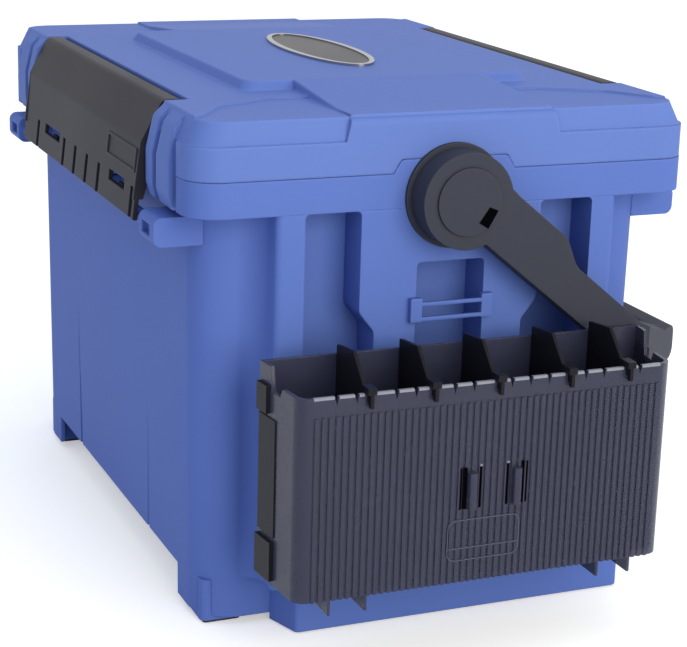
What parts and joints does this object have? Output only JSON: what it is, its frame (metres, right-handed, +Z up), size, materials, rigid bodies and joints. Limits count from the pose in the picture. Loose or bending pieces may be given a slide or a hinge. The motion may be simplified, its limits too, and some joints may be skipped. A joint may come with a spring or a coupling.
{
  "type": "fishing tackle cabinet",
  "caption": "Moulded seat-top tackle box: lid held by full-length side latches, swinging carry handle, sliding inner tray and a clear end pocket with lift-out dividers.",
  "frame": {"origin": "on the floor, on the plane of the foot pads, under the middle of the space that the box takes up with its pocket", "axes": "+X across the box's width, +Y along its length away from the pocket, +Z up"},
  "size_m": [0.335, 0.52, 0.3141],
  "materials": {
    "case_blue": "satin moulded polypropylene",
    "lid_blue": "satin moulded polypropylene with a fine grain",
    "rail_blue": "satin",
    "badge": "bright plate, bare",
    "latch_black": "fine matt grain",
    "handle_black": "fine matt grain",
    "divider_black": "satin",
    "bush": "plain acetal",
    "smoke_clear": "smoke-tinted clear, glossy",
    "steel": "zinc plated",
    "rubber": "matt",
    "tray_grey": "satin"
  },
  "bodies": {
    "case": {"body_shell": "case_blue", "case_rim": "case_blue", "end_panel_front": "case_blue", "end_panel_rear": "case_blue", "end_pillars_front": "case_blue", "end_pillars_rear": "case_blue", "end_skirt_front": "case_blue", "end_skirt_rear": "case_blue", "foot_blocks": "case_blue", "foot_pads": "rubber", "hub_bolt_front": "steel", "hub_bolt_rear": "steel", "hub_bush_front": "bush", "hub_bush_rear": "bush", "hub_plate_front": "handle_black", "hub_plate_rear": "handle_black", "hub_washer_front": "steel", "hub_washer_rear": "steel", "latch_bar_left": "case_blue", "latch_bar_right": "case_blue", "pocket_hanger": "divider_black", "pocket_hanger_screws": "steel", "pocket_tub": "smoke_clear", "tray_ledges": "case_blue", "utility_rail_front": "rail_blue", "utility_rail_rear": "rail_blue"},
    "lid": {"lid_shell": "lid_blue", "lid_badge_rim": "badge", "lid_badge_face": "badge", "latch_rod_left": "steel", "latch_rod_right": "steel"},
    "latch_left": {"latch_left": "latch_black", "latch_pads_left": "latch_black"},
    "latch_right": {"latch_right": "latch_black", "latch_pads_right": "latch_black"},
    "handle": {"handle_arm_front": "handle_black", "handle_arm_rear": "handle_black", "handle_grip": "handle_black", "handle_screws": "steel", "hub_cap_front": "handle_black", "hub_cap_rear": "handle_black"},
    "tray": {"tray": "tray_grey", "tray_dividers": "tray_grey"},
    "divider_1": {"pocket_divider_1": "divider_black"},
    "divider_2": {"pocket_divider_2": "divider_black"},
    "divider_3": {"pocket_divider_3": "divider_black"},
    "divider_4": {"pocket_divider_4": "divider_black"},
    "divider_5": {"pocket_divider_5": "divider_black"}
  },
  "joints": [
    {"name": "lid_hinge", "type": "hinge", "parent": "case", "child": "lid", "pos_m": [0.16, 0.02635, 0.2385], "axis": [0, 1, 0], "range_deg": [0, 95]},
    {"name": "latch_left_swing", "type": "hinge", "parent": "lid", "child": "latch_left", "pos_m": [-0.141, 0.02635, 0.301], "axis": [0, 1, 0], "range_deg": [0, 90]},
    {"name": "latch_right_swing", "type": "hinge", "parent": "lid", "child": "latch_right", "pos_m": [0.141, 0.02635, 0.301], "axis": [0, -1, 0], "range_deg": [0, 90]},
    {"name": "handle_swing", "type": "hinge", "parent": "case", "child": "handle", "pos_m": [0, 0.02635, 0.2593], "axis": [0, -1, 0], "range_deg": [0, 247]},
    {"name": "tray_slide", "type": "slide", "parent": "case", "child": "tray", "axis": [0, -1, 0], "range_m": [-0.17, 0]},
    {"name": "divider_1_lift", "type": "slide", "parent": "case", "child": "divider_1", "axis": [0, 0, 1], "range_m": [0, 0.125]},
    {"name": "divider_2_lift", "type": "slide", "parent": "case", "child": "divider_2", "axis": [0, 0, 1], "range_m": [0, 0.125]},
    {"name": "divider_3_lift", "type": "slide", "parent": "case", "child": "divider_3", "axis": [0, 0, 1], "range_m": [0, 0.125]},
    {"name": "divider_4_lift", "type": "slide", "parent": "case", "child": "divider_4", "axis": [0, 0, 1], "range_m": [0, 0.125]},
    {"name": "divider_5_lift", "type": "slide", "parent": "case", "child": "divider_5", "axis": [0, 0, 1], "range_m": [0, 0.125]}
  ]
}
